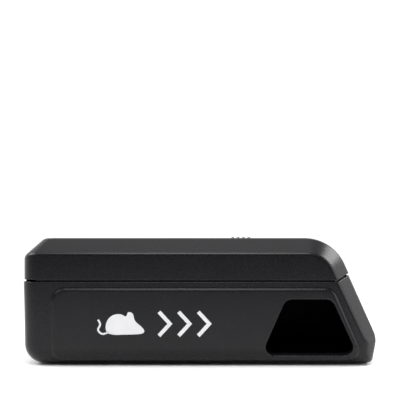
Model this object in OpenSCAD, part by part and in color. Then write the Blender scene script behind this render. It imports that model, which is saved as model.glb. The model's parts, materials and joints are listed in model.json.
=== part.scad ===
// Covered snap mouse trap: a chamfered two-part case with a spring striker inside.
// Millimetres. +X points at the nose, -Y at the entry side, +Z up.
// The origin is on the floor, under the middle of the case.

/* [Case] */
// Length of the case, nose to rear face
case_length = 210; // [205:1:216]
// Width of the case over its raised side panels
case_width = 84; // [82:1:90]
// Height of the lid's flat top above the floor
case_height = 75.6; // [75:0.2:78]
// Wall thickness of both shells
wall = 2.4; // [2:0.1:2.8]
// Height of the parting line between the two shells
parting_z = 50.4; // [50:0.2:51]
// Width of the open gap at the parting line
parting_gap = 1.1; // [0.6:0.1:1.2]
// How far the side panels stand proud of the side faces
panel_proud = 0.8; // [0.4:0.1:1]
// Width of the chamfer along the lid's sides
side_chamfer = 9.2; // [8:0.2:10]
// Width of the chamfer at the lid's rear end
rear_chamfer = 10.8; // [9:0.2:12]
// Radius of the upright rear corners
corner_r = 8; // [6:0.5:9]
// Radius of the case's lower edges
bottom_r = 12; // [10:0.5:13]

/* [Nose] */
// Lean of the slanted front from upright, degrees
front_lean = 24.14; // [23.5:0.02:24.6]
// Radius of the rounded nose
nose_r = 14.33; // [14:0.01:14.6]
// Height of the nose's centre
nose_z = 14.6; // [14:0.1:15]
// Radius of the lid's front bend
lid_bend_r = 26.3; // [26:0.1:26.6]

/* [Entry] */
// Height of the entry hole's lower edge
entry_low = 6.1; // [5.5:0.1:7]
// Height of the entry hole's upper edge
entry_high = 39.5; // [37:0.5:41]
// Corner radius of the entry hole
entry_r = 5.5; // [4:0.5:6]

/* [Snap mechanism] */
// Place of the striker's axle along the case
axle_x = -45; // [-46:0.5:-44]
// Height of the striker's axle
axle_z = 13; // [12.8:0.1:13.2]
// Reach of the kill bar from the axle
bar_reach = 42; // [41.8:0.1:43]
// Wire radius of the kill bar
bar_r = 1.5; // [1.2:0.1:1.5]
// Downward slope of the kill bar when it rests, degrees
bar_slope = 7.5; // [7:0.1:7.6]
// Number of turns in each torsion spring
spring_turns = 7; // [5:1:7]

/* [Latch] */
// Pitch of the four grip ribs
rib_pitch = 3.4; // [3:0.1:3.6]
// Travel of the latch slider
latch_travel = 3.6; // [3:0.1:4]

/* [Hidden] */
$fn = 48;

// Case outline
rear_x = -case_length / 2;
half_w = case_width / 2 - panel_proud;
foot_stand = 0.6;
floor_z = foot_stand + wall;
rear_draft = 0.5;
nose_x = case_length / 2 - nose_r;
under_lean = 9.6;
toe_r = 3;
toe_x = nose_x + (nose_r - toe_r) * cos(under_lean)
    + ((nose_r - toe_r) * sin(under_lean) - (nose_z - foot_stand - toe_r)) * tan(under_lean);
hull_top = 58;
nose_half = half_w - side_chamfer;
side_front_x = 96.8;
side_front_z = 15.8;
kink_x = 80.8;
kink_rise = 23.4;
lid_bend_x = 62.7;
lid_bend_z = case_height - lid_bend_r;
chamfer_shift = sqrt(2) - 1;
lip_gap = 0.3;
lip_thick = 1.2;
lip_low = 47;
lip_rise = 2.5;
panel_rear = -87.8;
panel_top = 46.6;
panel_front = 78.8;
panel_r = 8.5;
entry_rear = 35.7;
entry_front = 92.6;
entry_lean = 23.6;
entry_rear_slant = (entry_high - entry_low) * tan(entry_lean);
entry_front_slant = (entry_high - entry_low) * tan(24.6);

// Rear hinge
hinge_x = rear_x + 1.8;
hinge_z = parting_z + 2.6;
hinge_half = 30;
knuckle_r = 1.7;
hinge_pin_r = 0.75;
knuckle_count = 5;
relief_deep = 3.8;

// Snap mechanism
plate_top = floor_z + 2.4;
arm_y = 21;
hub_in = 18.5;
hub_out = 23.7;
axle_r = 1.5;
tooth_r = 10;
disc_r = 8;
tooth_angle = -38;
pedal_x = axle_x + 16.3;
pedal_z = axle_z + 0.2;
sear_length = 14.02;
sear_angle = 141.1;
pedal_low = 6;
pedal_thick = 2;
cup_x = axle_x + 29;
cup_r = 7;

// Latch
slot_x0 = 15.3;
button_x0 = slot_x0 + latch_travel + 0.4;
button_x1 = 32.8;
button_half = 8;
arm_top = lid_bend_z + 20.9;
arm_thick = 2;
arm_half = 5;
tongue_x = 88;
tongue_z = 44;
ledge_x = 84.5;
strap_x = 50;
strap_z = 65.6;
strap_thick = 2.2;
post_y = 14;
post_places = [for (s = [-1, 1]) [strap_x, s * post_y]];

dark = [0.13, 0.13, 0.14];
steel = [0.75, 0.76, 0.78];

// A circular arc as points
function arc(c, r, a0, a1, n) =
    [for (i = [0:n]) let (a = a0 + (a1 - a0) * i / n) c + r * [cos(a), sin(a)]];
function unit(v) = v / norm(v);
function turn(a) = a > 180 ? a - 360 : a < -180 ? a + 360 : a;
// The rounded corner at q, between p and s
function corner(p, q, s, r, n) =
    let (u = unit(p - q), v = unit(s - q), half = acos(u * v) / 2,
        c = q + unit(u + v) * r / sin(half),
        from = q + u * r / tan(half) - c,
        to = q + v * r / tan(half) - c,
        a0 = atan2(from[1], from[0]))
    arc(c, r, a0, a0 + turn(atan2(to[1], to[0]) - a0), n);
// A polygon with all its corners rounded
function rounded(pts, r, n = 6) =
    let (k = len(pts))
    [for (i = [0:k - 1]) each corner(pts[(i + k - 1) % k], pts[i], pts[(i + 1) % k], r, n)];

// Front slope of the base, and the front edge of its flat side face, at height z
function slope_x(z) = nose_x + (nose_r - (z - nose_z) * sin(front_lean)) / cos(front_lean);
function side_x(z) = side_front_x - (z - side_front_z) * tan(24.95);
function lid_slope_x(z, t) =
    lid_bend_x + (lid_bend_r - t - (z - lid_bend_z) * sin(front_lean)) / cos(front_lean);

// Extrudes an outline drawn in X and Z across the case
module across(half) rotate([90, 0, 0]) linear_extrude(2 * half, center = true) children();

// Outline of the base's front, from the toe up the nose to the top of the slope
function front_outline(t) = concat(
    arc([toe_x, foot_stand + toe_r], toe_r - t, 270, 360 - under_lean, 3),
    arc([nose_x, nose_z], nose_r - t, -under_lean, front_lean, 6),
    [[slope_x(hull_top) - t / cos(front_lean), hull_top]]);

// Solid block of the base, moved inward by t, still uncut at the parting line
module base_block(t) {
    trim = t * chamfer_shift;
    round_x = rear_x + rear_draft + bottom_r;
    round_z = foot_stand + bottom_r;
    round_r = bottom_r - t;
    corner_x = rear_x + corner_r;
    hull() {
        // lower edges: slices that widen and rise round the fillet
        for (a = [0:15:90]) across(half_w - bottom_r + round_r * sin(a))
            polygon(concat([[0, nose_z]], arc([round_x, round_z], round_r * cos(a) + 0.01, 180, 270, 6),
                [[side_front_x - trim, round_z - round_r * cos(a) - 0.01],
                 [side_front_x - trim, side_front_z]]));
        // upright rear corners
        for (a = [0:15:90]) across(half_w - corner_r + (corner_r - t) * sin(a))
            polygon([[0, hull_top - 1], [0, hull_top], [corner_x - (corner_r - t) * cos(a), hull_top],
                [corner_x - (corner_r - t) * cos(a), hull_top - 1]]);
        // toe, nose and slope, then the flat side faces
        across(half_w - bottom_r) polygon(concat([[0, hull_top]], front_outline(t)));
        across(nose_half - trim) polygon(concat([[0, hull_top]],
            arc([nose_x, nose_z], nose_r - t, -under_lean, front_lean, 6),
            [[slope_x(hull_top) - t / cos(front_lean), hull_top]]));
        across(half_w - t) polygon([[corner_x, hull_top], [round_x, round_z],
            [side_front_x - trim, side_front_z], [side_x(hull_top) - trim, hull_top]]);
    }
}

// Everything above the parting line, raised by g
module above_parting(g) across(case_width) polygon([
    [-case_length, parting_z + g], [kink_x, parting_z + g],
    [case_length, parting_z + g + (case_length - kink_x) * tan(kink_rise)],
    [case_length, 2 * case_length], [-case_length, 2 * case_length]]);

// Solid block of the lid, moved inward by t
module lid_block(t) {
    trim = t * chamfer_shift;
    low = parting_z - 2;
    shoulder = case_height - rear_chamfer - trim;
    side_top = case_height - side_chamfer - trim;
    top_rear = rear_x + rear_chamfer + trim;
    hull() {
        across(nose_half - trim) polygon(concat(
            [[rear_x + t, low], [lid_slope_x(low, t), low]],
            arc([lid_bend_x, lid_bend_z], lid_bend_r - t, front_lean, 90, 12),
            [[top_rear, case_height - t], [rear_x + t, shoulder]]));
        across(half_w - t) polygon(concat(
            [[rear_x + corner_r, low], [lid_slope_x(low, side_chamfer + trim), low]],
            arc([lid_bend_x, lid_bend_z], lid_bend_r - side_chamfer - trim, front_lean, 90, 12),
            [[rear_x + corner_r, side_top]]));
        for (s = [-1, 1]) translate([rear_x + corner_r, s * (half_w - corner_r), low])
            cylinder(r = corner_r - t, h = shoulder - low, $fn = 32);
    }
}

// Outline of the raised side panel
function panel_outline() = rounded([
    [panel_rear, foot_stand], [panel_rear, panel_top], [panel_front, panel_top],
    [panel_front + (panel_top - foot_stand) * tan(entry_lean), foot_stand]], panel_r);
// Outline of the entry hole
function entry_outline() = rounded([
    [entry_rear, entry_low], [entry_rear + entry_rear_slant, entry_high],
    [entry_front - entry_front_slant, entry_high], [entry_front, entry_low]], entry_r);

// One hinge knuckle with its bore and the web that joins it to its shell
module knuckle(i, up) {
    pitch = 2 * hinge_half / knuckle_count;
    long = pitch - 0.3;
    translate([hinge_x, -hinge_half + pitch * (i + 0.5), hinge_z]) difference() {
        union() {
            rotate([90, 0, 0]) cylinder(r = knuckle_r, h = long, center = true);
            if (up) translate([-1.7, -long / 2, 0]) cube([2.2, long, 3.4]);
            else translate([-1.4, -long / 2, -4.2]) cube([2.8, long, 4.2]);
        }
        rotate([90, 0, 0]) cylinder(r = hinge_pin_r + 0.05, h = long + 1, center = true);
    }
}

// The band inside which the base's inner lip stands
module lip_band() difference() {
    translate([rear_x + corner_r, -case_width, lip_low]) cube([case_length, 2 * case_width, hull_top]);
    // notch for the latch arm
    translate([kink_x - 4, -arm_half - 0.6, 0]) cube([case_length, 2 * arm_half + 1.2, 2 * hull_top]);
}

module base_shell() color(dark) {
    difference() {
        union() {
            difference() {
                union() {
                    base_block(0);
                    intersection() {
                        base_block(-panel_proud);
                        for (s = [-1, 1]) translate([0, s * half_w, 0])
                            across(half_w - 28) polygon(panel_outline());
                    }
                }
                above_parting(-parting_gap / 2);
            }
            // lip that the lid closes over
            difference() {
                intersection() {
                    base_block(wall + lip_gap);
                    lip_band();
                }
                above_parting(lip_rise);
            }
        }
        // the hollow, narrower where the lip stands
        difference() {
            base_block(wall);
            lip_band();
        }
        base_block(wall + lip_gap + lip_thick);
        // entry hole
        translate([0, -half_w, 0]) across(6) polygon(entry_outline());
        for (p = foot_places()) translate([p[0], p[1], -1]) cylinder(r = 6.1, h = 1.4 + foot_stand);
        for (p = concat(chassis_screw_places(), baffle_screw_places()))
            translate([p[0], p[1], 1.1]) cylinder(r = 1.25, h = 5, $fn = 24);
    }
    // ledge that the latch hooks under
    translate([ledge_x, -button_half, tongue_z + 3]) cube([5.5, 2 * button_half, 2.5]);
    for (i = [0, 2, 4]) knuckle(i, false);
}

function foot_places() = [for (x = [-84, 84], y = [-20, 20]) [x, y]];
function chassis_screw_places() = [for (x = [axle_x - 26, axle_x + 43], y = [-26, 26]) [x, y]];
function baffle_screw_places() = [[26, -24.5], [26, 24.5]];

module rubber_feet() color([0.06, 0.06, 0.06]) for (p = foot_places()) translate([p[0], p[1], 0])
    rotate_extrude() polygon([[0, 0], [5.4, 0], [6, 0.5], [6, 1], [0, 1]]);

module hinge_pin() color(steel) translate([hinge_x, 0, hinge_z]) rotate([90, 0, 0])
    cylinder(r = hinge_pin_r, h = 2 * hinge_half - 0.4, center = true);

// A self-tapping screw that points down, with its seat at z and a cross recess in its head
module screw(z, reach, head_r = 2.3, head_h = 1.4) difference() {
    translate([0, 0, z]) rotate_extrude() polygon([
        [0, -reach], [0.5, -reach], [1.2, -reach + 0.9], [1.2, 0], [head_r, 0],
        [head_r, head_h * 0.6], [head_r - 0.6, head_h], [0, head_h]]);
    for (a = [0, 90]) translate([0, 0, z + head_h]) rotate([0, 0, a]) cube([2.6, 0.5, 1.4], center = true);
}

module entry_baffle() color([0.17, 0.17, 0.18]) {
    arch_half = 19.5;
    arch_spring = 18;
    difference() {
        intersection() {
            base_block(wall + lip_gap);
            translate([30, -case_width, 0]) cube([2, 2 * case_width, 46.6]);
        }
        translate([20, -arch_half, -1]) cube([20, 2 * arch_half, arch_spring + 1]);
        translate([20, 0, arch_spring]) rotate([0, 90, 0]) cylinder(r = arch_half, h = 20);
    }
    for (p = baffle_screw_places()) difference() {
        translate([p[0] - 4, p[1] - 4, floor_z]) cube([9, 8, 2]);
        translate([p[0], p[1], 0]) cylinder(r = 1.35, h = 9, $fn = 24);
    }
}

module baffle_screws() color(steel) for (p = baffle_screw_places())
    translate([p[0], p[1], 0]) screw(floor_z + 2, 3.8);

// An upright plate on the chassis that holds a round pin at [x, z], |y| from y0 to y1
module pin_ear(x, z, r, foot, bore, y0, y1) for (s = [-1, 1])
    translate([0, s * (y0 + y1) / 2, 0]) difference() {
        union() {
            across((y1 - y0) / 2) polygon([
                [x - foot, plate_top - 1], [x + foot, plate_top - 1], [x + r, z], [x - r, z]]);
            translate([x, 0, z]) rotate([90, 0, 0]) cylinder(r = r, h = y1 - y0, center = true);
        }
        translate([x, 0, z]) rotate([90, 0, 0]) cylinder(r = bore, h = y1 - y0 + 1, center = true);
    }

module trap_chassis() color([0.2, 0.2, 0.21]) {
    x0 = axle_x - 33;
    x1 = axle_x + 48;
    edge = 29;
    difference() {
        translate([0, 0, floor_z]) linear_extrude(plate_top - floor_z)
            polygon(rounded([[x0, -edge], [x0, edge], [x1, edge], [x1, -edge]], 3));
        for (p = chassis_screw_places()) translate([p[0], p[1], 0]) cylinder(r = 1.35, h = 9, $fn = 24);
        // weight-saving window behind the axle, and room for the sear disc
        translate([x0 + 8, -16, 0]) cube([14, 32, 9]);
        translate([axle_x - 6, -4.6, 0]) cube([12, 9.2, 9]);
    }
    // edge stiffeners
    for (s = [-1, 1]) translate([x0 + 12, s * (edge - 0.5) - 0.5, plate_top - 0.5])
        cube([x1 - x0 - 24, 1, 2.1]);
    pin_ear(axle_x, axle_z, 4.6, 8, axle_r + 0.02, 25.2, 28.2);
    for (s = [-1, 1]) translate([axle_x, s * 24.6, axle_z]) rotate([90, 0, 0]) difference() {
        cylinder(r = 3.4, h = 1.3, center = true);
        cylinder(r = axle_r + 0.02, h = 3, center = true);
    }
    pin_ear(pedal_x, pedal_z, 2.5, 2.6, 1.02, 16.6, 19);
}

module chassis_screws() color(steel) for (p = chassis_screw_places())
    translate([p[0], p[1], 0]) screw(plate_top, 4.2);

module stop_pads() color([0.07, 0.07, 0.07]) for (s = [-1, 1])
    translate([axle_x + bar_reach * cos(bar_slope), s * 12, plate_top]) linear_extrude(0.5)
        polygon(rounded([[-2.4, -4], [-2.4, 4], [2.4, 4], [2.4, -4]], 1));

module striker_axle() color(steel) translate([axle_x, 0, axle_z]) rotate([90, 0, 0])
    cylinder(r = axle_r, h = 61, center = true);

module axle_clips() color(steel) for (s = [-1, 1])
    translate([axle_x, s * 28.9, axle_z]) rotate([90, 0, 0]) difference() {
        cylinder(r = 3.3, h = 1, center = true);
        cylinder(r = axle_r, h = 2, center = true);
        translate([0, -3, 0]) cube([1.6, 5, 2], center = true);
    }

// A round wire swept along a path whose turns lie round the Y direction
module wire(path, r, sides) {
    n = len(path);
    rings = [for (i = [0:n - 1])
        let (t = unit(path[min(i + 1, n - 1)] - path[max(i - 1, 0)]),
            a = unit(cross(t, [0, 1, 0])), b = cross(t, a))
        for (k = [0:sides - 1]) path[i] + r * (a * cos(360 * k / sides) + b * sin(360 * k / sides))];
    polyhedron(rings, concat(
        [[for (k = [0:sides - 1]) k]],
        [for (i = [0:n - 2]) for (k = [0:sides - 1]) let (j = (k + 1) % sides)
            each [[i * sides + k, (i + 1) * sides + k, (i + 1) * sides + j],
                [i * sides + k, (i + 1) * sides + j, i * sides + j]]],
        [[for (k = [sides - 1:-1:0]) (n - 1) * sides + k]]), convexity = 8);
}

// One torsion spring on the +Y side: a leg down to the chassis, the turns, a leg on the yoke's peg
module torsion_spring(s) translate([axle_x, 0, axle_z]) {
    coil_r = 6;
    y0 = 4.9;
    y1 = 17.4;
    steps = 16;
    sweep = 360 * (spring_turns - 1) + 90 + bar_slope;
    end = 90 - bar_slope;
    turns = [for (i = [0:steps * spring_turns]) let (f = i / (steps * spring_turns), a = 180 - sweep * f)
        [coil_r * cos(a), s * (y0 + (y1 - y0) * f), coil_r * sin(a)]];
    wire(concat(
        [[-coil_r, s * y0, plate_top + 0.1 - axle_z]], turns,
        [[coil_r * cos(end) + 11.5 * cos(bar_slope), s * y1, coil_r * sin(end) - 11.5 * sin(bar_slope)]]),
        0.7, 6);
}
module torsion_spring_near() color(steel) torsion_spring(-1);
module torsion_spring_far() color(steel) torsion_spring(1);

// The striker's own frame: +X runs out along the kill bar at rest
module on_striker() translate([axle_x, 0, axle_z]) rotate([0, bar_slope, 0]) children();

module striker_yoke() color([0.55, 0.1, 0.08]) {
    hub_w = hub_out - hub_in;
    paddle_lean = 80;
    difference() {
        union() {
            on_striker() {
                rotate([90, 0, 0]) cylinder(r = 5, h = 2 * hub_in + 0.2, center = true);
                rotate([90, 0, 0]) cylinder(r = disc_r, h = 8, center = true);
                for (s = [-1, 1]) translate([0, s * (hub_in + hub_w / 2), 0]) {
                    rotate([90, 0, 0]) cylinder(r = 6.5, h = hub_w, center = true);
                    translate([0, -hub_w / 2, -3]) cube([11, hub_w, 6]);
                    translate([6.5, -hub_w / 2, 0]) cube([4.5, hub_w, 7]);
                    translate([9.2, -s * (hub_w / 2 + 1), 4.2]) rotate([90, 0, 0])
                        cylinder(r = 0.8, h = 2.4, center = true, $fn = 24);
                    rotate([0, -paddle_lean, 0]) translate([4, -hub_w / 2, -1.5]) cube([21, hub_w, 3]);
                }
                rotate([0, -paddle_lean, 0]) {
                    rotate([0, 0, 90]) translate([0, -24, -1.25]) linear_extrude(2.5)
                        polygon(rounded([[-hub_out, 0], [hub_out, 0], [hub_out, -14], [-hub_out, -14]], 2.5));
                    for (i = [0:2]) translate([28 + 3 * i, -14, -2]) cube([1, 28, 4]);
                }
            }
            // sear tooth, with its flat face towards the trip pedal's arm
            translate([axle_x, 0, axle_z]) across(4) polygon(concat([[0, 0]],
                arc([0, 0], tooth_r, tooth_angle, tooth_angle + 22, 4),
                [disc_r * [cos(tooth_angle + 34), sin(tooth_angle + 34)]]));
        }
        on_striker() {
            rotate([90, 0, 0]) cylinder(r = axle_r + 0.07, h = case_width, center = true);
            for (s = [-1, 1]) translate([2.6, s * arm_y, 0]) rotate([0, 90, 0]) cylinder(r = bar_r, h = 20);
        }
    }
}

module kill_bar() color(steel) on_striker() {
    bend = 4;
    for (m = [0, 1]) mirror([0, m, 0]) {
        translate([2.6, arm_y, 0]) rotate([0, 90, 0]) cylinder(r = bar_r, h = bar_reach - bend - 2.6);
        translate([bar_reach - bend, arm_y - bend, 0]) rotate_extrude(angle = 90)
            translate([bend, 0]) circle(bar_r);
    }
    translate([bar_reach, 0, 0]) rotate([90, 0, 0])
        cylinder(r = bar_r, h = 2 * (arm_y - bend), center = true);
}

module trip_pedal() color([0.62, 0.5, 0.12]) {
    half = 16.3;
    tip_x = axle_x + 38;
    difference() {
        union() {
            translate([pedal_x, 0, pedal_z]) rotate([90, 0, 0])
                cylinder(r = 2.6, h = 2 * half, center = true);
            translate([pedal_x + 0.2, -half, pedal_low + 0.5]) cube([2.2, 2 * half, pedal_z - pedal_low]);
            translate([0, 0, pedal_low]) linear_extrude(pedal_thick) polygon(rounded([
                [pedal_x + 0.2, -half], [pedal_x + 0.2, half], [tip_x, half], [tip_x, -half]], 1.5));
            for (s = [-1, 1], i = [0:2])
                translate([pedal_x + 5 + 4 * i, s * 12 - 2.5, pedal_low + 1]) cube([1, 5, pedal_thick - 0.5]);
            translate([pedal_x, 0, pedal_z]) rotate([0, -sear_angle, 0])
                translate([0, -2.5, -2]) cube([sear_length, 5, 2]);
        }
        translate([pedal_x, 0, pedal_z]) rotate([90, 0, 0]) cylinder(r = 1.06, h = 3 * half, center = true);
        translate([cup_x, 0, 0]) cylinder(r = cup_r + 0.3, h = 9);
    }
}

module pedal_pin() color(steel) translate([pedal_x, 0, pedal_z]) rotate([90, 0, 0])
    cylinder(r = 1, h = 39, center = true);

module bait_cup() color([0.85, 0.84, 0.8]) translate([cup_x, 0, 0]) rotate_extrude() polygon([
    [0, 6.3], [6.4, 6.3], [cup_r, 6.9], [cup_r, 8.05], [8.6, 8.05], [8.6, 9], [cup_r, 9],
    [cup_r, 12], [5.9, 12], [5.8, 7.5], [0, 7.5]]);

module lid_shell() color(dark) {
    top_in = case_height - wall;
    post_z = strap_z + strap_thick;
    rib_z = 69;
    rest_z = 66;
    difference() {
        union() {
            intersection() {
                difference() {
                    lid_block(0);
                    lid_block(wall);
                }
                above_parting(parting_gap / 2);
            }
            // screw posts of the latch strap
            for (p = post_places) translate([p[0], p[1], post_z])
                cylinder(r = 3.4, h = top_in - post_z + 0.1);
            // rest for the latch spring
            translate([-4.4, -7, rest_z]) cube([2, 14, top_in - rest_z + 0.1]);
            // stiffening ribs
            for (s = [-1, 1]) translate([-80, s * 21 - 0.6, rib_z]) cube([136, 1.2, top_in - rib_z + 0.1]);
        }
        translate([slot_x0, -button_half - 0.4, 65])
            cube([button_x1 + 0.4 - slot_x0, 2 * button_half + 0.8, 20]);
        // room for the hinge knuckles of the base
        translate([rear_x - 1, -hinge_half - 0.3, hinge_z - 5])
            cube([relief_deep + 1, 2 * hinge_half + 0.6, knuckle_r + 5.4]);
        for (p = post_places) translate([p[0], p[1], strap_z]) cylinder(r = 1.25, h = 6.2, $fn = 24);
    }
    for (i = [1, 3]) knuckle(i, true);
}

module latch_slider() color([0.15, 0.15, 0.16]) {
    bend = [lid_bend_x, lid_bend_z];
    strap_in = arm_top - arm_thick - lid_bend_z;
    strap_out = arm_top - lid_bend_z;
    drop_x = lid_bend_x + strap_out * cos(front_lean);
    // button in the lid's slot, with four grip ribs
    translate([button_x0, -button_half, 67]) cube([button_x1 - button_x0, 2 * button_half, 8.2]);
    for (i = [0:3]) translate([button_x0 + 1.7 + rib_pitch * i, 0, 75]) across(button_half - 1)
        polygon([[-0.9, 0], [0.9, 0], [0.5, 1.1], [-0.5, 1.1]]);
    // flange that slides under the lid
    translate([12, -12, 71]) cube([28, 24, 1.9]);
    // arm that runs forward, round the lid's bend and down to the hook
    across(arm_half) polygon(concat(
        [[button_x0 + 1, arm_top]], arc(bend, strap_out, 90, front_lean, 8),
        [[drop_x, tongue_z + 2.5], [tongue_x, tongue_z + 2.5], [tongue_x, tongue_z],
         [drop_x - arm_thick, tongue_z]],
        arc(bend, strap_in, front_lean, 90, 8), [[button_x0 + 1, arm_top - arm_thick]]));
}

module latch_retainer() color([0.2, 0.2, 0.21]) difference() {
    translate([strap_x, 0, strap_z]) linear_extrude(strap_thick)
        polygon(rounded([[-5, -18.5], [-5, 18.5], [5, 18.5], [5, -18.5]], 3));
    for (p = post_places) translate([p[0], p[1], strap_z - 1]) cylinder(r = 1.35, h = 5, $fn = 24);
}

module latch_screws() color(steel) for (p = post_places)
    translate([p[0], p[1], strap_z]) rotate([180, 0, 0]) screw(0, 5.9, 2.3, 1.3);

module latch_spring() color(steel) {
    turns = 10;
    steps = 10;
    from = -2.2;
    to = button_x0 - 0.2;
    rotate([0, 0, -90]) translate([0, 0, 68.9]) wire([for (i = [0:turns * steps])
        [1.5 * cos(360 * i / steps), from + 0.35 + (to - from - 0.7) * i / (turns * steps),
            1.5 * sin(360 * i / steps)]], 0.35, 6);
}

base_shell();
rubber_feet();
hinge_pin();
entry_baffle();
baffle_screws();
trap_chassis();
chassis_screws();
stop_pads();
striker_axle();
axle_clips();
torsion_spring_near();
torsion_spring_far();
striker_yoke();
kill_bar();
trip_pedal();
pedal_pin();
bait_cup();
lid_shell();
latch_slider();
latch_retainer();
latch_screws();
latch_spring();
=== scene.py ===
"""Looks of the covered snap mouse trap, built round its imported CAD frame. Metres, the row frame."""
import json
from math import cos, pi, radians, sin, sqrt, tan

import bmesh
import bpy
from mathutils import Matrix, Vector


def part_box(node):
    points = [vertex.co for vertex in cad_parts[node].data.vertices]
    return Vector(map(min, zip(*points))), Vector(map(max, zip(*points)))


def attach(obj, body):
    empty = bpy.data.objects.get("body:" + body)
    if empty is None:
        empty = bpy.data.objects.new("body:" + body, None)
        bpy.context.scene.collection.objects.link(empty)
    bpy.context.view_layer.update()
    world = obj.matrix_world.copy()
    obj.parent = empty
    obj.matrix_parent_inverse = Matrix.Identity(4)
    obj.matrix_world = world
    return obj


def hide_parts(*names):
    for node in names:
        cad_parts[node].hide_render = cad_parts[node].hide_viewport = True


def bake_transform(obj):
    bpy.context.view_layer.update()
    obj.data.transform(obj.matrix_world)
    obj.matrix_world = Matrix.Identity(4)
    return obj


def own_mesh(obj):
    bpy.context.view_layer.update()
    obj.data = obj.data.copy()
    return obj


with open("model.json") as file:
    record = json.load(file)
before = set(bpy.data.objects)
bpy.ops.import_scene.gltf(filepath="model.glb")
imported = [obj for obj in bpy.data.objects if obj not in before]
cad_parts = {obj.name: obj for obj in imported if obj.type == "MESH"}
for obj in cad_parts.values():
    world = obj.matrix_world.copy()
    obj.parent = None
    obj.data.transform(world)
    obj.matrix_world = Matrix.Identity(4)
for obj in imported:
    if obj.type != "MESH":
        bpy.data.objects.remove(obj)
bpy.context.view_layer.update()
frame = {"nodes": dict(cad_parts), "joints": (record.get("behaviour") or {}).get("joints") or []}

MM = 0.001

# ---------------------------------------------------------------- places taken from the frame
base_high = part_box("base_shell")[1]
lid_low, lid_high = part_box("lid_shell")
joints = {joint["name"]: joint for joint in frame["joints"]}

REAR = lid_low.x
NOSE = base_high.x
TOP = lid_high.z
SIDE = lid_high.y                       # the flat side faces
PANEL = base_high.y - SIDE              # how far the side panels stand proud
UNDERSIDE = 0.6 * MM                    # feet lift the case by this much
WALL = 2.4 * MM
PART_Z = 50.4 * MM
PART_GAP = 1.1 * MM
HINGE = Vector(joints["lid_hinge"]["pos_m"])

FRONT_LEAN = 24.14                      # degrees from upright
UNDER_LEAN = 9.6
NOSE_R = 14.33 * MM
NOSE_Z = 14.6 * MM
TOE_R = 3 * MM
BOTTOM_R = 12 * MM
CORNER_R = 8 * MM
SIDE_CHAMFER = 9.2 * MM
REAR_CHAMFER = 10.8 * MM
EDGE_R = 3.0 * MM                       # rounding of the chamfers' edges
LID_BEND_R = 26.3 * MM
KINK_X = 80.8 * MM
KINK_RISE = 23.4

nose_centre = Vector((NOSE - NOSE_R, NOSE_Z))
bend_centre = Vector((62.7 * MM, TOP - LID_BEND_R))


# ---------------------------------------------------------------- outlines in X and Z
def heading(angle):
    return Vector((cos(radians(angle)), sin(radians(angle))))


def line(angle, point):
    """A straight edge whose outward normal points at angle, through a point."""
    return angle, heading(angle).dot(Vector(point))


def crossing(first, second, inset):
    """Where two edges meet after both have moved inward."""
    a, b = heading(first[0]), heading(second[0])
    p, q = first[1] - inset, second[1] - inset
    det = a.x * b.y - a.y * b.x
    return Vector(((p * b.y - q * a.y) / det, (a.x * q - b.x * p) / det))


def bend(first, second, radius, steps, inset, least=0.5 * MM):
    """The rounded corner between two edges, moved inward."""
    r = max(radius - inset, least)
    centre = crossing(first, second, inset + r)
    return [centre + r * heading(first[0] + (second[0] - first[0]) * i / steps) for i in range(steps + 1)]


def on_parting(edge, inset, lift):
    """Where the front slope meets the parting line, which rises in front of its kink."""
    flat = (90, PART_Z + lift)
    rise = line(90 + KINK_RISE, (KINK_X, PART_Z + lift))
    moved = (edge[0], edge[1] - inset)
    steep = crossing(moved, rise, 0)
    return steep if steep.x > KINK_X else crossing(moved, flat, 0)


class Profile:
    """A side outline from the rear parting line round to the front one, for any inset."""

    def __init__(self, edges, bends, start_z, lift):
        self.edges, self.bends, self.start_z, self.lift = edges, bends, start_z, lift
        self.known = {}

    def points(self, inset):
        key = round(inset, 8)
        if key not in self.known:
            angle, reach = self.edges[0]
            n = heading(angle)
            out = [Vector(((reach - inset - n.y * self.start_z) / n.x, self.start_z))]
            for k, (radius, steps) in enumerate(self.bends):
                out += bend(self.edges[k], self.edges[k + 1], radius, steps, inset)
            out.append(on_parting(self.edges[-1], inset, self.lift))
            self.known[key] = out
        return self.known[key]


class LidFront:
    """The lid's outline from its front bend down to the parting line, for any inset."""

    def points(self, inset):
        slope = line(FRONT_LEAN, bend_centre + LID_BEND_R * heading(FRONT_LEAN))
        down = bend(slope, line(90, (0, TOP)), LID_BEND_R, 24, inset)
        return down[::-1] + [on_parting(slope, inset, PART_GAP / 2)]


lid_profile = LidFront()

FILLET_STEPS = 12                       # rows round the rear lower edge, and round the nose
TOE_STEPS = 6

base_profile = Profile(
    [line(180.5, (REAR, PART_Z)), line(270, (0, UNDERSIDE)),
     line(360 - UNDER_LEAN, nose_centre + NOSE_R * heading(-UNDER_LEAN)),
     line(360 + FRONT_LEAN, nose_centre + NOSE_R * heading(FRONT_LEAN))],
    [(BOTTOM_R, FILLET_STEPS), (TOE_R, TOE_STEPS), (NOSE_R, FILLET_STEPS)],
    PART_Z - PART_GAP / 2, -PART_GAP / 2)


# ---------------------------------------------------------------- cross-sections of the long edges
EDGE_STEPS = 5
ROUND = 2 - sqrt(2)                     # a chamfer this share of its rounding's radius is a plain round edge


def chamfer_section(size, rounding=EDGE_R):
    """Across a chamfered edge: how far in from the side, and how far in from the outline."""
    reach = size + rounding * tan(radians(22.5))
    angles = [radians(45 * i / EDGE_STEPS) for i in range(EDGE_STEPS + 1)]
    near = [(reach - rounding * sin(a), rounding - rounding * cos(a)) for a in angles]
    return near + [(inset, side) for side, inset in reversed(near)]


def lid_sections(inner):
    """The lid's rows from the start of its front bend to the parting line, all with the same chamfer."""
    chamfer = chamfer_section(SIDE_CHAMFER - inner * ROUND)
    return [chamfer for row in lid_profile.points(0)]


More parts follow.
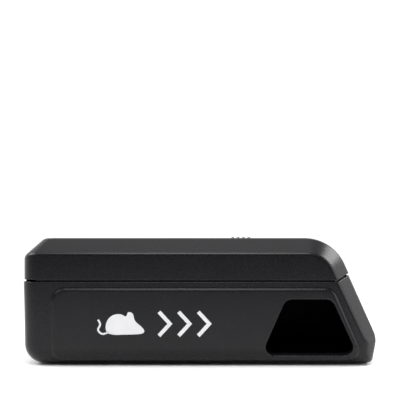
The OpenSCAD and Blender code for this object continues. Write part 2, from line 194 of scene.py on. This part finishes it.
def base_sections(inner):
    """The base's rows: rear wall, lower rear edge, toe, nose and the top of the slope."""
    sizes = [(ROUND * CORNER_R, CORNER_R)]
    for i in range(FILLET_STEPS + 1):
        radius = CORNER_R + (BOTTOM_R - CORNER_R) * (0.4 + 0.6 * i / FILLET_STEPS)
        sizes.append((ROUND * radius, radius))
    for i in range(TOE_STEPS + 1):
        share = i / TOE_STEPS
        sizes.append((ROUND * BOTTOM_R - 0.5 * MM * share, BOTTOM_R - 6 * MM * share))
    for i in range(FILLET_STEPS + 1):
        share = i / FILLET_STEPS
        sizes.append((6.5 * MM + 1.7 * MM * share, EDGE_R + 1.0 * MM * (1 - share) ** 2))
    sizes.append((8.8 * MM, EDGE_R))
    out = []
    for size, rounding in sizes:
        size = size - inner * ROUND
        out.append(chamfer_section(size, max(min(rounding - inner, size / ROUND), 0.5 * MM)))
    return out


def relax(rows, first, last, rounds):
    """Evens out the blend between a shell's lower edge and its nose."""
    middle = len(rows[0]) // 2
    for _ in range(rounds):
        before = [list(row) for row in rows]
        for r in range(first, last):
            for c in range(middle - 1):
                across = before[r][c] if c == 0 else (before[r][c - 1] + before[r][c + 1]) / 2
                along = (before[r - 1][c] + before[r + 1][c]) / 2
                rows[r][c] = (before[r][c] + (along if c == 0 else (across + along) / 2)) / 2
                m = rows[r][c]
                rows[r][-1 - c] = Vector((m.x, -m.y, m.z))


# ---------------------------------------------------------------- mesh helpers
def new_object(name, bm):
    bmesh.ops.recalc_face_normals(bm, faces=bm.faces)
    mesh = bpy.data.meshes.new(name)
    bm.to_mesh(mesh)
    bm.free()
    obj = bpy.data.objects.new(name, mesh)
    bpy.context.scene.collection.objects.link(obj)
    return obj


def skin(profile, sections, thickness):
    """A grid of points over one surface of a shell: a row for each outline point, columns across the case."""
    side = SIDE - thickness
    rows = []
    for row, section in enumerate(sections):
        far = []
        for across, inset in section:
            p = profile.points(thickness + inset)[row]
            far.append(Vector((p.x, side - across, p.y)))
        near = [Vector((p.x, -p.y, p.z)) for p in reversed(far)]
        rows.append(near + far)
    if isinstance(profile, Profile):
        toe = FILLET_STEPS + 2
        relax(rows, toe + 1, toe + 10, 6)
    return rows


def close_skins(bm, grids, rims):
    """Fills a shell's outer and inner grids with faces, and joins them along the rims."""
    for grid in grids:
        for a, b in zip(grid, grid[1:]):
            for k in range(len(a) - 1):
                bm.faces.new((a[k], a[k + 1], b[k + 1], b[k]))
    for outer, inner in rims:
        for k in range(len(outer) - 1):
            bm.faces.new((outer[k], outer[k + 1], inner[k + 1], inner[k]))


def shell(name, profile, sections, start=0.0, thickness=WALL):
    """A closed thin-walled half of the case, open at the parting line."""
    bm = bmesh.new()
    grids = [[[bm.verts.new(p) for p in row] for row in skin(profile, sections(depth), depth)]
             for depth in (start, start + thickness)]
    outer, inner = grids
    close_skins(bm, grids, [(outer[0], inner[0]), (outer[-1], inner[-1]),
                            ((outer[0][0], outer[-1][0]), (inner[0][0], inner[-1][0])),
                            ((outer[0][-1], outer[-1][-1]), (inner[0][-1], inner[-1][-1]))])
    for grid in grids:
        bm.faces.new([row[0] for row in grid])
        bm.faces.new([row[-1] for row in grid])
    return new_object(name, bm)


def lid_edge(depth):
    """The lid's side and rear walls in section, from the parting line up: insets and heights."""
    shrink = depth * ROUND
    sections = (chamfer_section(SIDE_CHAMFER - shrink),
                chamfer_section(REAR_CHAMFER - shrink, max(5 * MM - depth, EDGE_R)))
    return [[(depth, PART_Z + PART_GAP / 2)]
            + [(depth + across, TOP - depth - inset) for across, inset in reversed(section)]
            for section in sections]


def lid_rear(depth):
    """Rings of points round the lid's rear, one for each point of the wall's section, from side to side."""
    side, rear = lid_edge(depth)
    front = lid_profile.points(0)[0].x
    turns = 12
    rings = []
    for (side_in, side_z), (rear_in, rear_z) in zip(side, rear):
        radius = max(CORNER_R + 2 * MM - (side_in + rear_in) / 3, 7 * MM - depth)
        half = [(front, SIDE - side_in, side_z)]
        for i in range(turns + 1):
            share = i / turns
            a = radians(90 * share)
            half.append((REAR + rear_in + radius - radius * sin(a),
                         SIDE - side_in - radius + radius * cos(a),
                         side_z + (rear_z - side_z) * ease(share)))
        rings.append([Vector(p) for p in half] + [Vector((x, -y, z)) for x, y, z in reversed(half)])
    return rings


def ease(share):
    return share * share * (3 - 2 * share)


def lid_shell_object(name):
    bm = bmesh.new()
    grids, rears = [], []
    for depth in (0.0, WALL):
        rows = skin(lid_profile, lid_sections(depth), depth)
        grids.append([[bm.verts.new(p) for p in row] for row in rows])
        rears.append([[bm.verts.new(p) for p in ring] for ring in lid_rear(depth)])
    close_skins(bm, grids, [(grids[0][-1], grids[1][-1])])
    close_skins(bm, rears, [(rears[0][0], rears[1][0])])
    for k in (0, -1):
        front_foot = [grid[-1][k] for grid in grids]
        rear_foot = [rear[0][-1 if k == 0 else 0] for rear in rears]
        bm.faces.new((front_foot[0], rear_foot[0], rear_foot[1], front_foot[1]))
        for grid, foot in zip(grids, rear_foot):
            bm.faces.new([row[k] for row in grid] + [foot])
    for rear in rears:
        bm.faces.new(rear[-1])
    bmesh.ops.remove_doubles(bm, verts=bm.verts, dist=0.001 * MM)
    return new_object(name, bm)


def prism(name, outline, y0, y1):
    """An outline in X and Z, extruded across the case."""
    bm = bmesh.new()
    ends = [[bm.verts.new((p[0], y, p[1])) for p in outline] for y in (y0, y1)]
    for ring in ends:
        bm.faces.new(ring)
    for k in range(len(outline)):
        m = (k + 1) % len(outline)
        bm.faces.new((ends[0][k], ends[0][m], ends[1][m], ends[1][k]))
    return new_object(name, bm)


def block(name, low, high):
    outline = [(low[0], low[2]), (high[0], low[2]), (high[0], high[2]), (low[0], high[2])]
    return prism(name, outline, low[1], high[1])


def rod(name, start, end, radius, sides=32):
    start, end = Vector(start), Vector(end)
    bm = bmesh.new()
    bmesh.ops.create_cone(bm, cap_ends=True, segments=sides, radius1=radius, radius2=radius,
                          depth=(end - start).length)
    turn = (end - start).to_track_quat("Z", "Y").to_matrix().to_4x4()
    turn.translation = (start + end) / 2
    bm.transform(turn)
    return new_object(name, bm)


def settle(obj):
    """Makes an object's modifiers permanent."""
    graph = bpy.context.evaluated_depsgraph_get()
    mesh = bpy.data.meshes.new_from_object(obj.evaluated_get(graph))
    obj.modifiers.clear()
    obj.data = mesh


def combine(obj, other, operation):
    """Adds or cuts away another solid, which is used up."""
    step = obj.modifiers.new("combine", "BOOLEAN")
    step.object = other
    step.operation = operation
    step.solver = "EXACT"
    settle(obj)
    bpy.data.objects.remove(other)


def soften(obj, width, angle=50, segments=2, clamp=True):
    """Rounds an object's sharp edges and shades it smooth, with its flat faces flat."""
    step = obj.modifiers.new("soften", "BEVEL")
    step.width = width
    step.segments = segments
    step.limit_method = "ANGLE"
    step.angle_limit = radians(angle)
    step.use_clamp_overlap = clamp
    settle(obj)
    shade(obj)


def shade(obj, sharp=55):
    obj.data.shade_smooth()
    obj.data.set_sharp_from_angle(angle=radians(sharp))
    step = obj.modifiers.new("flat_faces", "WEIGHTED_NORMAL")
    step.keep_sharp = True
    step.weight = 80


def paint(obj, material, body):
    """Gives a piece its surface and, unless it blends between two bodies, the body it rides on."""
    obj.data.materials.clear()
    obj.data.materials.append(material)
    if body:
        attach(obj, body)
    return obj


# ---------------------------------------------------------------- materials
def surface(name, colours, roughness, grain_mm, bump, metallic=0.0, specular=0.5,
            stretch=(1, 1, 1), spread=0.06):
    """A moulded, ground or painted surface: two close colours in soft patches, and a fine grain in relief."""
    material = bpy.data.materials.new(name)
    material.use_nodes = True
    nodes, links = material.node_tree.nodes, material.node_tree.links
    shader = nodes["Principled BSDF"]
    shader.inputs["Metallic"].default_value = metallic
    shader.inputs["Specular IOR Level"].default_value = specular
    place = nodes.new("ShaderNodeTexCoord")
    frame_map = nodes.new("ShaderNodeMapping")
    frame_map.inputs["Scale"].default_value = stretch
    links.new(place.outputs["Object"], frame_map.inputs["Vector"])

    patches = nodes.new("ShaderNodeTexNoise")
    patches.inputs["Scale"].default_value = 60
    patches.inputs["Detail"].default_value = 4
    links.new(frame_map.outputs["Vector"], patches.inputs["Vector"])
    tint = nodes.new("ShaderNodeValToRGB")
    tint.color_ramp.elements[0].position = 0.35
    tint.color_ramp.elements[1].position = 0.65
    tint.color_ramp.elements[0].color = (*colours[0], 1)
    tint.color_ramp.elements[1].color = (*colours[1], 1)
    links.new(patches.outputs["Fac"], tint.inputs["Fac"])
    links.new(tint.outputs["Color"], shader.inputs["Base Color"])

    grain = nodes.new("ShaderNodeTexNoise")
    grain.inputs["Scale"].default_value = 1 / (grain_mm * MM)
    grain.inputs["Detail"].default_value = 3
    grain.inputs["Roughness"].default_value = 0.6
    links.new(frame_map.outputs["Vector"], grain.inputs["Vector"])
    gloss = nodes.new("ShaderNodeMapRange")
    gloss.inputs["To Min"].default_value = roughness - spread
    gloss.inputs["To Max"].default_value = roughness + spread
    links.new(grain.outputs["Fac"], gloss.inputs["Value"])
    links.new(gloss.outputs["Result"], shader.inputs["Roughness"])
    relief = nodes.new("ShaderNodeBump")
    relief.inputs["Strength"].default_value = bump
    relief.inputs["Distance"].default_value = 0.1 * MM
    links.new(grain.outputs["Fac"], relief.inputs["Height"])
    links.new(relief.outputs["Normal"], shader.inputs["Normal"])
    return material


case_plastic = surface("case_plastic", [(0.0022, 0.0023, 0.0034), (0.0030, 0.0031, 0.0043)],
                       0.28, 0.6, 0.2, specular=0.26)
button_plastic = surface("button_plastic", [(0.0045, 0.0047, 0.006), (0.0055, 0.0057, 0.007)],
                         0.30, 0.6, 0.2, specular=0.3)
inner_plastic = surface("inner_plastic", [(0.010, 0.010, 0.011), (0.013, 0.013, 0.014)],
                        0.5, 0.8, 0.2, specular=0.3)
striker_plastic = surface("striker_plastic", [(0.30, 0.018, 0.012), (0.36, 0.024, 0.016)], 0.4, 0.8, 0.15)
pedal_plastic = surface("pedal_plastic", [(0.62, 0.40, 0.035), (0.68, 0.45, 0.05)], 0.42, 0.8, 0.15)
cup_plastic = surface("cup_plastic", [(0.72, 0.70, 0.64), (0.78, 0.76, 0.70)], 0.3, 1.2, 0.08)
rubber = surface("rubber", [(0.012, 0.012, 0.012), (0.02, 0.02, 0.02)], 0.75, 0.4, 0.4, specular=0.3)
pin_steel = surface("pin_steel", [(0.56, 0.57, 0.59), (0.62, 0.63, 0.65)],
                    0.28, 0.5, 0.1, metallic=1.0, stretch=(1, 0.05, 1))
wire_steel = surface("wire_steel", [(0.50, 0.50, 0.51), (0.60, 0.60, 0.62)], 0.3, 0.7, 0.12, metallic=1.0)
spring_steel = surface("spring_steel", [(0.30, 0.30, 0.31), (0.38, 0.38, 0.40)],
                       0.32, 0.5, 0.12, metallic=1.0)
screw_steel = surface("screw_steel", [(0.52, 0.52, 0.50), (0.62, 0.62, 0.60)], 0.34, 0.4, 0.15, metallic=1.0)
inside_plastic = surface("inside_plastic", [(0.0030, 0.0031, 0.0038), (0.0040, 0.0041, 0.0048)],
                         0.6, 0.8, 0.2, specular=0.06)
print_white = surface("print_white", [(0.56, 0.56, 0.57), (0.62, 0.62, 0.63)], 0.5, 0.3, 0.1)


def dull_inside(obj):
    """The inner faces of a shell are rougher from the mould than its outer ones."""
    obj.data.materials.append(inside_plastic)
    heart = Vector((0, 0, PART_Z))
    for face in obj.data.polygons:
        if face.normal.dot(face.center - heart) < 0:
            face.material_index = 1


# ---------------------------------------------------------------- the lid
HINGE_HALF = 30 * MM                    # half the length of the row of knuckles
KNUCKLES = 5
KNUCKLE_R = 1.7 * MM
SLOT_REAR, SLOT_FRONT, SLOT_HALF = 15.3 * MM, 33.2 * MM, 8.4 * MM


def make_lid():
    lid = lid_shell_object("lid_case")
    # room for the base's hinge knuckles, and the latch slot
    combine(lid, block("relief", (REAR - MM, -HINGE_HALF - 0.3 * MM, HINGE.z - 10 * MM),
                       (REAR + 3.8 * MM, HINGE_HALF + 0.3 * MM, HINGE.z + 2.1 * MM)), "DIFFERENCE")
    combine(lid, block("slot", (SLOT_REAR, -SLOT_HALF, TOP - 10 * MM),
                       (SLOT_FRONT, SLOT_HALF, TOP + 5 * MM)), "DIFFERENCE")
    soften(lid, 0.45 * MM, 50, 3, False)
    paint(lid, case_plastic, "lid")
    dull_inside(lid)
    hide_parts("lid_shell")


def make_lid_inside():
    """Ribs and posts under the lid, and its two hinge knuckles."""
    under = TOP - WALL
    parts = [block("rib", (-80 * MM, y - 0.6 * MM, 69 * MM), (56 * MM, y + 0.6 * MM, under + 0.5 * MM))
             for y in (-21 * MM, 21 * MM)]
    parts.append(block("spring_rest", (-4.4 * MM, -7 * MM, 66 * MM), (-2.4 * MM, 7 * MM, under + 0.5 * MM)))
    for y in (-14 * MM, 14 * MM):
        parts.append(rod("post", (50 * MM, y, 67.8 * MM), (50 * MM, y, under + 0.5 * MM), 3.4 * MM))
    for k in (1, 3):
        parts += knuckle(k, True)
    for part in parts:
        soften(part, 0.25 * MM)
    inside = join("lid_inside", parts)
    paint(inside, case_plastic, "lid")
    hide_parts("lid_shell")


def knuckle(k, up):
    """One of the five hinge knuckles, with the web that joins it to its shell."""
    pitch = 2 * HINGE_HALF / KNUCKLES
    middle = -HINGE_HALF + pitch * (k + 0.5)
    half = pitch / 2 - 0.15 * MM
    barrel = rod("barrel", (HINGE.x, middle - half, HINGE.z), (HINGE.x, middle + half, HINGE.z), KNUCKLE_R)
    if up:
        web = block("web", (HINGE.x - 1.6 * MM, middle - half, HINGE.z),
                    (HINGE.x + 0.4 * MM, middle + half, HINGE.z + 3.4 * MM))
    else:
        web = block("web", (HINGE.x - 1.4 * MM, middle - half, HINGE.z - 4.2 * MM),
                    (HINGE.x + 1.4 * MM, middle + half, HINGE.z))
    return [barrel, web]


def join(name, parts):
    """Several objects made into one mesh."""
    bm = bmesh.new()
    for part in parts:
        bm.from_mesh(part.data)
        bpy.data.objects.remove(part)
    mesh = bpy.data.meshes.new(name)
    bm.to_mesh(mesh)
    bm.free()
    obj = bpy.data.objects.new(name, mesh)
    bpy.context.scene.collection.objects.link(obj)
    shade(obj)
    return obj


# ---------------------------------------------------------------- the base
ENTRY_LOW, ENTRY_HIGH = 6.1 * MM, 39.5 * MM
ENTRY_REAR, ENTRY_FRONT = 35.7 * MM, 92.6 * MM      # where the hole's slanted sides would meet its lower edge
ENTRY_REAR_LEAN, ENTRY_FRONT_LEAN = 23.6, 24.6
ENTRY_R = 5.5 * MM


def loop(edges, radius, steps, inset):
    """A closed outline with rounded corners, for any inset."""
    out = []
    for k, edge in enumerate(edges):
        after = edges[(k + 1) % len(edges)]
        if k == len(edges) - 1:
            after = (after[0] + 360, after[1])
        out += bend(edge, after, radius, steps, inset)
    return out


entry_edges = [line(180 - ENTRY_REAR_LEAN, (ENTRY_REAR, ENTRY_LOW)), line(270, (0, ENTRY_LOW)),
               line(360 + ENTRY_FRONT_LEAN, (ENTRY_FRONT, ENTRY_LOW)), line(450, (0, ENTRY_HIGH))]


def entry_loop(inset):
    return loop(entry_edges, ENTRY_R, 8, inset)


def make_base():
    base = shell("base_case", base_profile, base_sections)
    combine(base, prism("entry", entry_loop(-0.3 * MM), -SIDE - MM, -SIDE + 6.5 * MM), "DIFFERENCE")
    soften(base, 0.45 * MM, 50, 3, False)
    paint(base, case_plastic, "case")
    dull_inside(base)
    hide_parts("base_shell")


def make_lip():
    """The thin inner lip that the lid closes over, with the latch ledge and the base's knuckles."""
    lip = shell("base_lip", Profile(base_profile.edges, base_profile.bends, 58 * MM, 12 * MM),
                base_sections, WALL + 0.3 * MM, 1.2 * MM)
    far = 200 * MM
    foot, crest = 47 * MM, PART_Z + 2.5 * MM
    far_crest = crest + (far - KINK_X) * tan(radians(KINK_RISE))
    band = [(REAR + CORNER_R, foot), (far, foot), (far, far_crest), (KINK_X, crest), (REAR + CORNER_R, crest)]
    combine(lip, prism("band", band, -far, far), "INTERSECT")
    notch = block("notch", (KINK_X - 4 * MM, -5.6 * MM, 40 * MM), (far, 5.6 * MM, 70 * MM))
    combine(lip, notch, "DIFFERENCE")
    soften(lip, 0.3 * MM)
    parts = [lip, block("ledge", (84.5 * MM, -8 * MM, 47 * MM), (90 * MM, 8 * MM, 49.5 * MM))]
    for k in (0, 2, 4):
        parts += knuckle(k, False)
    for part in parts[1:]:
        soften(part, 0.25 * MM)
    joined = join("base_lip", parts)
    paint(joined, case_plastic, "case")
    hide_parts("base_shell")


# ---------------------------------------------------------------- the raised side panels
PANEL_REAR = 87.8 * MM
PANEL_TOP = 46.9 * MM
PANEL_FRONT = 78.6 * MM                 # at its upper edge
PANEL_LEAN = 23.6
PANEL_LOW = 1.0 * MM                    # along the unrolled surface, so that it ends low on the fillet
PANEL_R = 8.5 * MM
STEP_WIDE = 2.7 * MM
FILLET_Z = UNDERSIDE + BOTTOM_R
panel_edges = [line(180, (-PANEL_REAR, 0)), line(270, (0, PANEL_LOW)),
               line(360 + PANEL_LEAN, (PANEL_FRONT, PANEL_TOP)), line(450, (0, PANEL_TOP))]


def on_side(x, along, height, side):
    """A point of the side face and the fillet under it, from its place on the unrolled surface."""
    if along >= FILLET_Z:
        return Vector((x, side * (SIDE + height), along))
    a = (FILLET_Z - along) / BOTTOM_R
    r = BOTTOM_R + height
    return Vector((x, side * (SIDE - BOTTOM_R + r * cos(a)), FILLET_Z - r * sin(a)))


def make_panel(name, side, with_hole):
    bm = bmesh.new()

    def ring(outline, height):
        return [bm.verts.new((p.x, p.y, height)) for p in outline]

    def bridge(a, b):
        for k in range(len(a)):
            m = (k + 1) % len(a)
            bm.faces.new((a[k], a[m], b[m], b[k]))

    def fill(*rings):
        edges = []
        for verts in rings:
            edges += [bm.edges.get((verts[k], verts[(k + 1) % len(verts)]))
                      or bm.edges.new((verts[k], verts[(k + 1) % len(verts)])) for k in range(len(verts))]
        bmesh.ops.triangle_fill(bm, use_beauty=True, use_dissolve=False, edges=edges)

    buried = -0.8 * MM
    skim = 0.01 * MM
    steps = 8
    rings = [ring(loop(panel_edges, PANEL_R, 10, 0), buried)]
    for i in range(steps + 1):
        share = i / steps
        rings.append(ring(loop(panel_edges, PANEL_R, 10, STEP_WIDE * share), PANEL * ease(share) - skim))
    for a, b in zip(rings, rings[1:]):
        bridge(a, b)
    if with_hole:
        lip_r = 0.8 * MM
        rim = []
        for i in range(7):
            a = radians(15 * i)
            rim.append(ring(entry_loop(-lip_r * (1 - sin(a))), PANEL - lip_r * (1 - cos(a)) - skim))
        rim.append(ring(entry_loop(0), -WALL - 0.05 * MM))
        rim.append(ring(entry_loop(-0.28 * MM), -WALL - 0.05 * MM))
        rim.append(ring(entry_loop(-0.28 * MM), buried))
        for a, b in zip(rim, rim[1:]):
            bridge(a, b)
        fill(rings[-1], rim[0])
        fill(rings[0], rim[-1])
    else:
        fill(rings[-1])
        fill(rings[0])
    # lines along the case, so that the panel can bend round the fillet
    for i in range(16):
        bmesh.ops.bisect_plane(bm, geom=bm.verts[:] + bm.edges[:] + bm.faces[:], dist=1e-7,
                               plane_co=(0, FILLET_Z - i * 1.05 * MM, 0), plane_no=(0, 1, 0))
    for v in bm.verts:
        v.co = on_side(v.co.x, v.co.y, v.co.z, side)
    panel = new_object(name, bm)
    shade(panel, 70)
    paint(panel, case_plastic, "case")
    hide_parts("base_shell")


# ---------------------------------------------------------------- swept wires
def tube(name, path, radius, sides=12):
    """A round wire along a path, with closed ends."""
    path = [Vector(p) for p in path]
    bm = bmesh.new()
    rings = []
    side = None
    for i, p in enumerate(path):
        way = (path[min(i + 1, len(path) - 1)] - path[max(i - 1, 0)]).normalized()
        side = (side or way.orthogonal())
        side = (side - side.dot(way) * way).normalized()
        up = way.cross(side)
        angles = [2 * pi * k / sides for k in range(sides)]
        rings.append([bm.verts.new(p + radius * (side * cos(a) + up * sin(a))) for a in angles])
    for a, b in zip(rings, rings[1:]):
        for k in range(sides):
            m = (k + 1) % sides
            bm.faces.new((a[k], a[m], b[m], b[k]))
    bm.faces.new(rings[0])
    bm.faces.new(rings[-1])
    obj = new_object(name, bm)
    shade(obj)
    return obj


AXLE = Vector(joints["striker_pivot"]["pos_m"])
BAR_SLOPE = 7.5
SPRING_TURNS = 7
PLATE_TOP = 5.4 * MM


def make_torsion_spring(node, side):
    coil, first, last, wire = 6 * MM, 4.9 * MM, 17.4 * MM, 0.7 * MM
    sweep = 360 * (SPRING_TURNS - 1) + 90 + BAR_SLOPE
    steps = 20 * SPRING_TURNS
    turns = []
    for i in range(steps + 1):
        share = i / steps
        a = radians(180 - sweep * share)
        turns.append(AXLE + Vector((coil * cos(a), side * (first + (last - first) * share), coil * sin(a))))
    foot = Vector((AXLE.x - coil, side * first, PLATE_TOP + wire))
    slope = radians(BAR_SLOPE)
    leg = turns[-1] + 11.5 * MM * Vector((cos(slope), 0, -sin(slope)))
    spring = tube(node + "_wire", [foot] + turns + [leg], wire, 12)
    paint(spring, spring_steel, None)
    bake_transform(spring)
    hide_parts(node)


def make_latch_spring():
    low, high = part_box("latch_spring")
    radius, wire, turns = 1.5 * MM, 0.35 * MM, 10
    middle = (low.z + high.z) / 2
    steps = 18 * turns
    path = []
    for i in range(steps + 1):
        share = i / steps
        a = 2 * pi * turns * share
        x = low.x + wire + (high.x - low.x - 2 * wire) * share
        path.append((x, radius * cos(a), middle + radius * sin(a)))
    spring = tube("latch_spring_wire", path, wire, 10)
    paint(spring, spring_steel, "lid")
    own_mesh(spring)
    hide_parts("latch_spring")


# ---------------------------------------------------------------- the white print
def flat_print(name, outlines, place, body):
    """Thin printed shapes: each outline is filled, and place() puts its points on the case."""
    bm = bmesh.new()
    for outline in outlines:
        rings = [[bm.verts.new(place(u, v, h)) for u, v in outline] for h in (0.0, 0.04 * MM)]
        bm.faces.new(rings[0])
        bm.faces.new(rings[1])
        for k in range(len(outline)):
            m = (k + 1) % len(outline)
            bm.faces.new((rings[0][k], rings[0][m], rings[1][m], rings[1][k]))
    printed = new_object(name, bm)
    paint(printed, print_white, body)
    return printed


def smooth_outline(points, steps=6):
    """A closed curve through points."""
    out = []
    n = len(points)
    for i in range(n):
        a, b, c, d = (Vector(points[(i + k) % n]) for k in (-1, 0, 1, 2))
        for s in range(steps):
            t = s / steps
            out.append(tuple(0.5 * (2 * b + (c - a) * t + (2 * a - 5 * b + 4 * c - d) * t ** 2
                                    + (3 * b - a - 3 * c + d) * t ** 3)))
    return out


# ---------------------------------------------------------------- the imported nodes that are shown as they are
def finish_node(node, material, width=0.25, angle=40):
    """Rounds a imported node's edges and gives it its surface; its mesh stays as packed."""
    obj = frame["nodes"][node]
    weld = obj.modifiers.new("weld", "WELD")
    weld.merge_threshold = 0.002 * MM
    flat = obj.modifiers.new("flat", "DECIMATE")
    flat.decimate_type = "DISSOLVE"
    flat.angle_limit = radians(1)
    edge = obj.modifiers.new("edge", "BEVEL")
    edge.width = width * MM
    edge.segments = 2
    edge.limit_method = "ANGLE"
    edge.angle_limit = radians(angle)
    edge.use_clamp_overlap = True
    edge.harden_normals = True
    obj.data.materials.clear()
    obj.data.materials.append(material)
    obj.data.shade_smooth()
    obj.data.set_sharp_from_angle(angle=radians(angle))


def stroke(points, width):
    """The outline of a drawn line of even width."""
    points = [Vector(p) for p in points]
    left, right = [], []
    for i, p in enumerate(points):
        before = (p - points[i - 1]).normalized() if i else (points[1] - p).normalized()
        after = (points[i + 1] - p).normalized() if i < len(points) - 1 else before
        way = (before + after).normalized()
        reach = width / 2 / max(way.dot(before), 0.4)
        off = Vector((-way.y, way.x)) * reach
        left.append(tuple(p + off))
        right.append(tuple(p - off))
    return left + right[::-1]


def open_curve(points, steps=6):
    """A smooth open line through points."""
    points = [Vector(p) for p in points]
    ends = [2 * points[0] - points[1]] + points + [2 * points[-1] - points[-2]]
    out = []
    for a, b, c, d in zip(ends, ends[1:], ends[2:], ends[3:]):
        for s in range(steps):
            t = s / steps
            out.append(0.5 * (2 * b + (c - a) * t + (2 * a - 5 * b + 4 * c - d) * t ** 2
                              + (3 * b - a - 3 * c + d) * t ** 3))
    out.append(points[-1])
    return out


def make_prints():
    """A plain mouse and chevrons towards the entry, and an arrow on the lid."""
    mouse = [(12.4, -4.2), (10.6, -1.6), (8.0, 0.6), (6.6, 2.6), (5.6, 6.0), (3.0, 6.8), (1.6, 4.4),
             (-1.5, 5.6), (-5.5, 5.2), (-8.8, 2.6), (-10.2, -1.6), (-9.2, -5.2), (-5.0, -6.4),
             (0.5, -6.3), (6.0, -6.2), (10.8, -5.8)]
    tail = [(-8.6, -5.0), (-12.2, -5.9), (-14.6, -3.6), (-13.4, -0.4), (-14.6, 2.4)]
    middle = Vector((-45, 25.4))
    shapes = [[(middle.x + u, middle.y + v) for u, v in smooth_outline(mouse)],
              [(middle.x + u, middle.y + v) for u, v in stroke(open_curve(tail), 1.1)]]
    for k in range(3):
        x = -24 + 11.5 * k
        shapes.append(stroke([(x, 18.4), (x + 6.4, 25.4), (x, 32.4)], 2.2))

    def on_panel(u, v, h):
        return Vector((u * MM, -(SIDE + PANEL - 0.02 * MM + h), v * MM))

    flat_print("print_side", shapes, on_panel, "case")

    def on_top(u, v, h):
        return Vector((u * MM, v * MM, TOP - 0.02 * MM + h))

    arrow = [stroke([(-23.5, 0), (-6, 0)], 2.2), [(-7, -4.4), (0, 0), (-7, 4.4)]]
    flat_print("print_lid", arrow, on_top, "lid")


make_lid()
make_prints()
make_lid_inside()
make_base()
make_lip()
make_panel("panel_near", -1, True)
make_panel("panel_far", 1, False)
make_torsion_spring("torsion_spring_near", -1)
make_torsion_spring("torsion_spring_far", 1)
make_latch_spring()

finish_node("latch_slider", button_plastic, 0.25)
finish_node("latch_retainer", inner_plastic, 0.3)
finish_node("entry_baffle", inner_plastic, 0.3)
finish_node("trap_chassis", inner_plastic, 0.3)
finish_node("striker_yoke", striker_plastic, 0.3)
finish_node("trip_pedal", pedal_plastic, 0.3)
finish_node("bait_cup", cup_plastic, 0.25)
finish_node("rubber_feet", rubber, 0.2)
finish_node("stop_pads", rubber, 0.12)
finish_node("hinge_pin", pin_steel, 0.15)
finish_node("pedal_pin", pin_steel, 0.15)
finish_node("striker_axle", pin_steel, 0.3)
finish_node("axle_clips", screw_steel, 0.15)
finish_node("kill_bar", wire_steel, 0.1)
finish_node("baffle_screws", screw_steel, 0.1)
finish_node("chassis_screws", screw_steel, 0.1)
finish_node("latch_screws", screw_steel, 0.1)


# ---------------------------------------------------------------- studio
FLOOR_R = 0.62
ROOM_WHITE = 1.1                        # strength of the white room, as seen and where it lights most
CAMERA_LENS = 64.63
CAMERA_SHIFT = 0.095                    # keeps the eye level with the lid's top, and the case low in view
CAMERA_BACK = 0.462
LAMP_AIM = Vector((0, 0, 0.04))


def make_studio():
    floor_paint = surface("floor_paint", [(0.84, 0.84, 0.84), (0.85, 0.85, 0.85)],
                          0.8, 2.0, 0.02, specular=0.2)
    bm = bmesh.new()
    bmesh.ops.create_circle(bm, cap_ends=True, segments=128, radius=FLOOR_R)
    floor = new_object("studio_floor", bm)
    floor.data.materials.append(floor_paint)

    # a white room to look at, which lights the case less from the front than from behind
    world = bpy.data.worlds.new("tent")
    bpy.context.scene.world = world
    world.use_nodes = True
    nodes, links = world.node_tree.nodes, world.node_tree.links
    place = nodes.new("ShaderNodeTexCoord")
    split = nodes.new("ShaderNodeSeparateXYZ")
    links.new(place.outputs["Generated"], split.inputs["Vector"])
    glow = nodes.new("ShaderNodeMapRange")
    glow.interpolation_type = "SMOOTHSTEP"
    glow.inputs["From Min"].default_value = -0.95
    glow.inputs["From Max"].default_value = 0.4
    glow.inputs["To Min"].default_value = 0.15
    glow.inputs["To Max"].default_value = ROOM_WHITE
    links.new(split.outputs["Y"], glow.inputs["Value"])
    links.new(glow.outputs["Result"], nodes["Background"].inputs["Strength"])
    nodes["Background"].inputs["Color"].default_value = (1, 1, 1, 1)
    backdrop = nodes.new("ShaderNodeBackground")
    backdrop.inputs["Color"].default_value = (1, 1, 1, 1)
    backdrop.inputs["Strength"].default_value = ROOM_WHITE
    rays = nodes.new("ShaderNodeLightPath")
    seen = nodes.new("ShaderNodeMixShader")
    links.new(rays.outputs["Is Camera Ray"], seen.inputs["Fac"])
    links.new(nodes["Background"].outputs["Background"], seen.inputs[1])
    links.new(backdrop.outputs["Background"], seen.inputs[2])
    links.new(seen.outputs["Shader"], nodes["World Output"].inputs["Surface"])

    for name, where, size, watts in (
            ("key_softbox", (0, -0.40, 0.60), 0.40, 3.2),
            ("top_softbox", (0, 0.15, 0.75), 0.6, 1.1),
            ("right_softbox", (0.64, 0.10, 0.52), 0.28, 3.0),
            ("right_wall", (0.85, 0.20, 0.25), 0.45, 0.8),
            ("front_right_softbox", (0.68, -0.36, 0.26), 0.40, 1.7),
            ("front_left_softbox", (-0.50, -0.38, 0.46), 0.30, 1.0),
            ("left_softbox", (-0.62, 0.0, 0.52), 0.35, 2.6)):
        data = bpy.data.lights.new(name, "AREA")
        data.size = size
        data.energy = watts
        lamp = bpy.data.objects.new(name, data)
        lamp.location = where
        lamp.rotation_euler = (LAMP_AIM - Vector(where)).to_track_quat("-Z", "Y").to_euler()
        bpy.context.scene.collection.objects.link(lamp)

    eye = bpy.data.cameras.new("camera")
    eye.lens = CAMERA_LENS
    eye.sensor_width = 36
    eye.shift_y = CAMERA_SHIFT
    eye.clip_start = 0.01
    camera = bpy.data.objects.new("camera", eye)
    camera.location = (0, -CAMERA_BACK, TOP)
    camera.rotation_euler = (radians(90), 0, 0)
    bpy.context.scene.collection.objects.link(camera)
    bpy.context.scene.camera = camera
    bpy.context.scene.view_settings.view_transform = "Standard"


make_studio()
